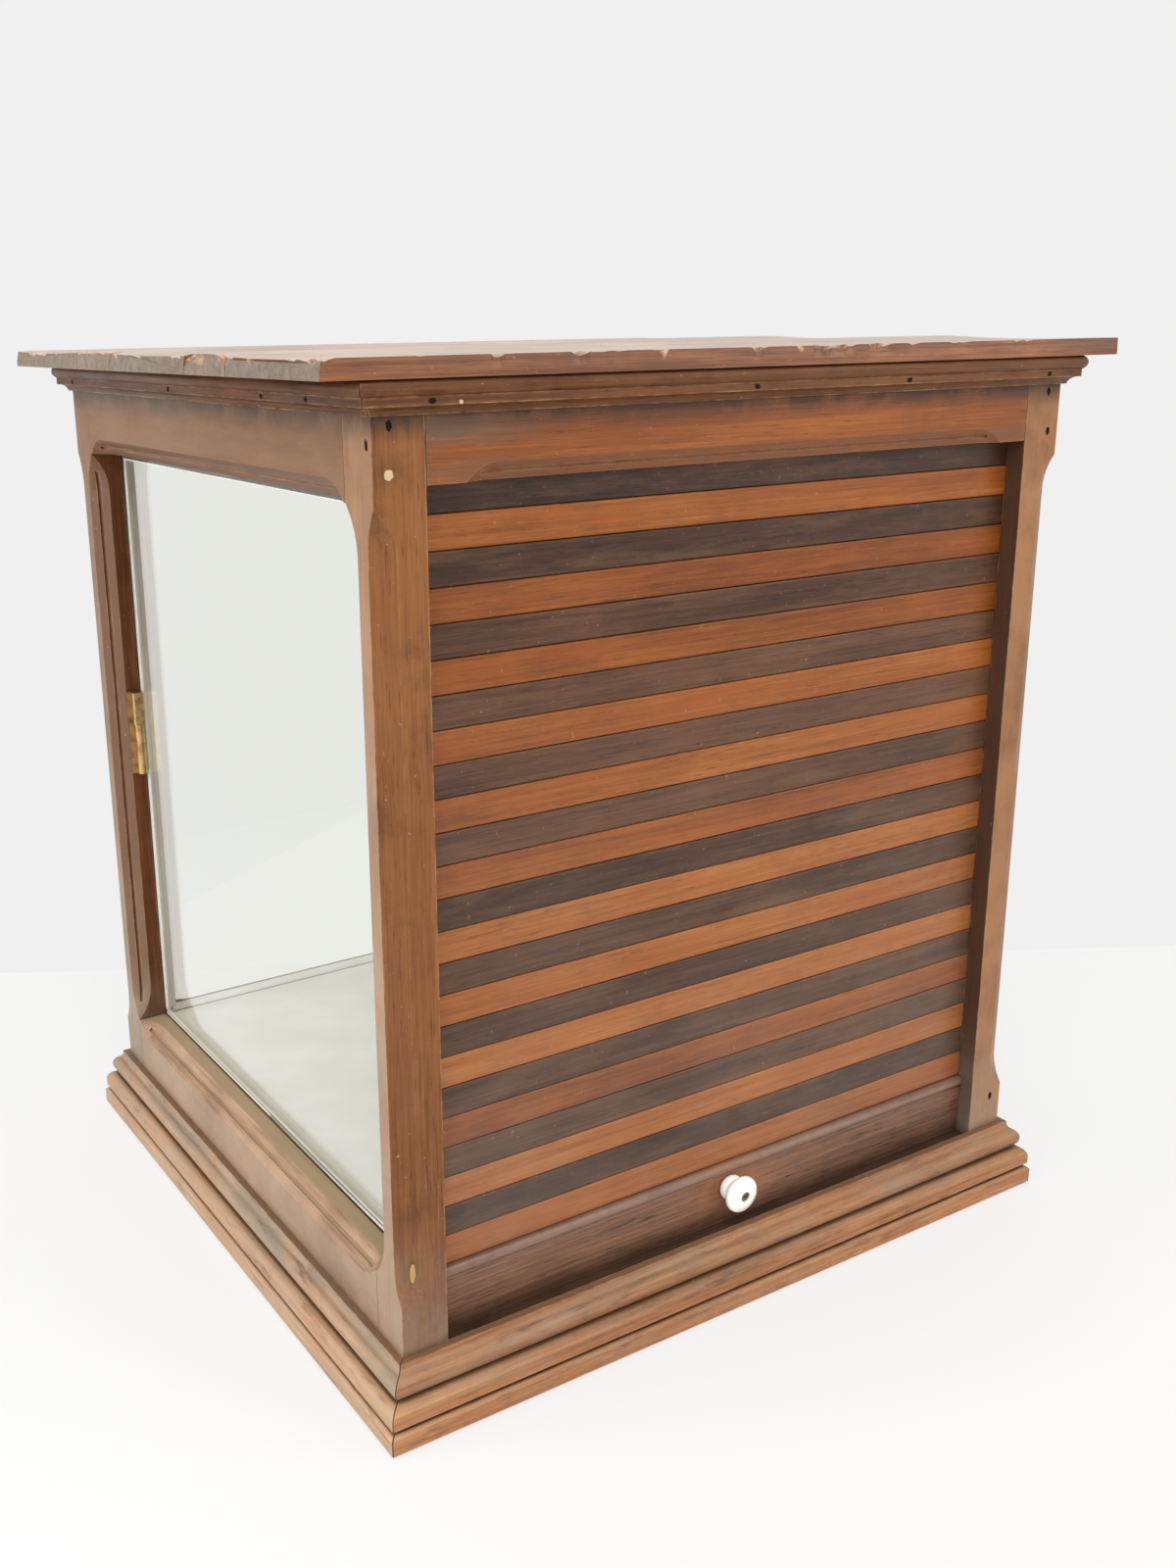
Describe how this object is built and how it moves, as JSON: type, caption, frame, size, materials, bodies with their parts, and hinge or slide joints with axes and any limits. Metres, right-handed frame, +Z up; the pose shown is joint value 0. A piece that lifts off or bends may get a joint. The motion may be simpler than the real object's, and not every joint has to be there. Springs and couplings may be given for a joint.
{
  "type": "tambour display case",
  "caption": "Square countertop display case in moulded wood with a striped roll-up tambour front, glazed sides, a plank top and a stepped plinth.",
  "frame": {"origin": "middle of the corner posts' footprint, on the plane the plinth stands on", "axes": "+Z up; -Y out of the tambour front; -X out of the left glazed side"},
  "size_m": [0.5695, 0.509, 0.6071],
  "materials": {
    "frame_wood": "worn oil and shellac, satin",
    "top_wood": "bare weathered planks",
    "inner_wood": "bare wood",
    "light_slat": "shellac, satin",
    "dark_slat": "shellac, satin",
    "lift_wood": "open-grained, oiled",
    "canvas": "glued canvas",
    "white_paint": "white paint, matt",
    "glass": "clear",
    "porcelain": "white glaze",
    "brass": "tarnished"
  },
  "bodies": {
    "case": {"bottom_boards": "inner_wood", "cornice_back": "frame_wood", "cornice_front": "frame_wood", "cornice_left": "frame_wood", "cornice_right": "frame_wood", "floor_board": "white_paint", "floor_cleats": "inner_wood", "floor_riser": "inner_wood", "glass_back": "glass", "glass_beads_back": "white_paint", "glass_beads_left": "white_paint", "glass_beads_right": "white_paint", "glass_clips": "brass", "glass_left": "glass", "glass_right": "glass", "plinth_lower_back": "frame_wood", "plinth_lower_front": "frame_wood", "plinth_lower_left": "frame_wood", "plinth_lower_right": "frame_wood", "plinth_upper_back": "frame_wood", "plinth_upper_front": "frame_wood", "plinth_upper_left": "frame_wood", "plinth_upper_right": "frame_wood", "post_back_left": "frame_wood", "post_back_right": "frame_wood", "post_front_left": "frame_wood", "post_front_right": "frame_wood", "rail_bottom_back": "frame_wood", "rail_bottom_left": "frame_wood", "rail_bottom_right": "frame_wood", "rail_top_back": "frame_wood", "rail_top_front": "frame_wood", "rail_top_left": "frame_wood", "rail_top_right": "frame_wood", "sill_front": "frame_wood", "slats_dark": "dark_slat", "slats_light": "light_slat", "tambour_canvas": "canvas", "top_board_1": "top_wood", "top_board_2": "top_wood", "top_board_3": "top_wood", "top_board_4": "top_wood", "top_board_5": "top_wood"},
    "tambour": {"lift_rail": "lift_wood", "knob": "porcelain", "knob_screw": "brass"}
  },
  "joints": [
    {"name": "tambour_lift", "type": "slide", "parent": "case", "child": "tambour", "axis": [0, 0, 1], "range_m": [0, 0.44], "deforming": ["slats_light", "slats_dark", "tambour_canvas"]}
  ]
}
